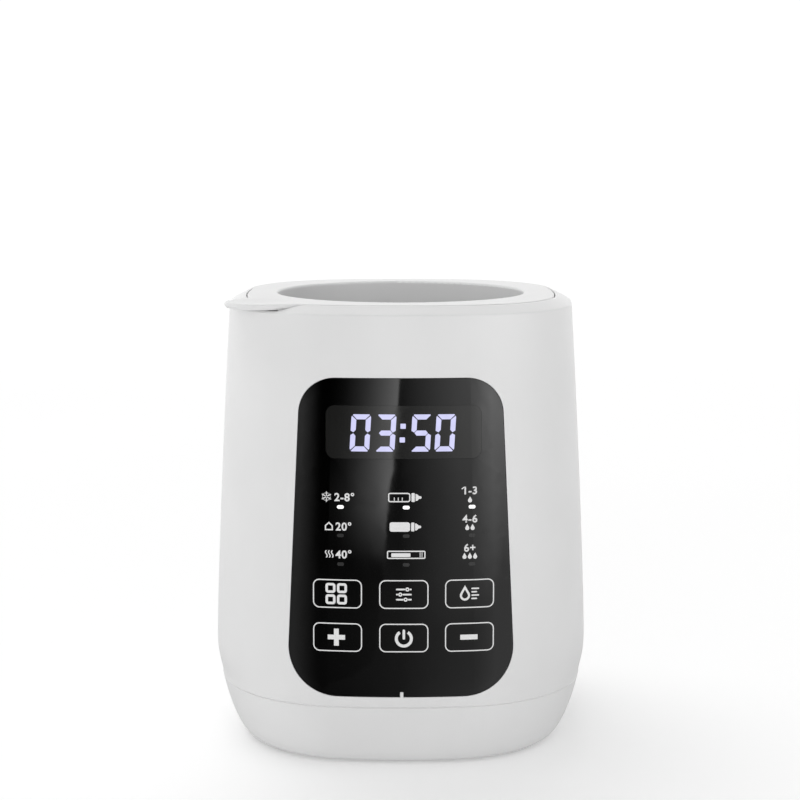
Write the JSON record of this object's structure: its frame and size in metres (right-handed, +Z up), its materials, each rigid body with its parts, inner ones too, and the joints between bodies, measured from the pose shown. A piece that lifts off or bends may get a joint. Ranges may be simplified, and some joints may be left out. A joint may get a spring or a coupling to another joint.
{
  "type": "bottle warmer",
  "caption": "Electric baby bottle warmer: tapered rounded-square body with a curved gloss control panel on the front and a lift-out basket in a heated water well.",
  "frame": {"origin": "centre of the footprint, on the surface that the feet stand on", "axes": "+Z up, -Y towards the control panel, +X to the right seen from the front"},
  "size_m": [0.136, 0.1358, 0.16],
  "materials": {
    "aluminium": "coated cast aluminium",
    "basket_white": "satin white food-safe plastic",
    "capacitor_sleeve": "printed sleeve",
    "connector": "natural nylon",
    "copper_tape": "yellow tape over copper windings",
    "ferrite": "ferrite",
    "film_yellow": "yellow box",
    "foam_seal": "black adhesive foam",
    "fuse_glass": "glass fuse body",
    "label_silver": "blank silver label",
    "lamp_clear": "clear lamp body",
    "light_box_white": "white reflector",
    "module_grey": "grey display body",
    "pad_grey": "conductive foam",
    "panel_black": "gloss black lens",
    "pcb": "green solder mask",
    "phenolic": "dark phenolic",
    "relay_blue": "blue case",
    "ribbon_grey": "grey ribbon",
    "rubber_grey": "grey moulded rubber",
    "shell_white": "satin white moulded plastic",
    "silicone": "translucent white silicone",
    "steel": "zinc plated steel",
    "tank_white": "satin white liner",
    "terminal_green": "green terminal body",
    "tinned": "tinned brass",
    "window_smoke": "smoked gloss window",
    "wire_black": "insulated wire",
    "wire_white": "silicone insulated wire"
  },
  "bodies": {
    "warmer": {"base_screws": "steel", "base_shell": "shell_white", "bulk_capacitor": "capacitor_sleeve", "buzzer": "phenolic", "clamp_nuts": "steel", "clamp_ring": "steel", "control_panel": "panel_black", "cord_gland": "rubber_grey", "display_board": "pcb", "display_board_screws": "steel", "display_header": "connector", "display_module": "module_grey", "display_window": "window_smoke", "film_capacitor": "film_yellow", "fuse_clips": "tinned", "heater_element": "aluminium", "heater_leads": "wire_white", "heater_tabs": "tinned", "heating_plate": "aluminium", "housing": "shell_white", "indicator_lamps": "lamp_clear", "light_box": "light_box_white", "mains_fuse": "fuse_glass", "panel_seal": "foam_seal", "plate_seal": "silicone", "power_board": "pcb", "power_board_screws": "steel", "power_header": "connector", "rating_plate": "label_silver", "relay": "relay_blue", "ribbon_cable": "ribbon_grey", "rubber_feet": "rubber_grey", "sensor_header": "connector", "sensor_lead": "wire_black", "strap_screws": "steel", "tank_gasket": "silicone", "tank_screws": "steel", "temperature_probe": "tinned", "terminal_block": "terminal_green", "terminal_screws": "steel", "thermal_fuse": "tinned", "thermostat": "phenolic", "thermostat_strap": "steel", "touch_pads": "pad_grey", "transformer_coil": "copper_tape", "transformer_core": "ferrite", "water_tank": "tank_white"},
    "basket": {"bottle_basket": "basket_white"}
  },
  "joints": [
    {"name": "basket_lift", "type": "slide", "parent": "warmer", "child": "basket", "axis": [0, 0, 1], "range_m": [0, 0.115]}
  ]
}
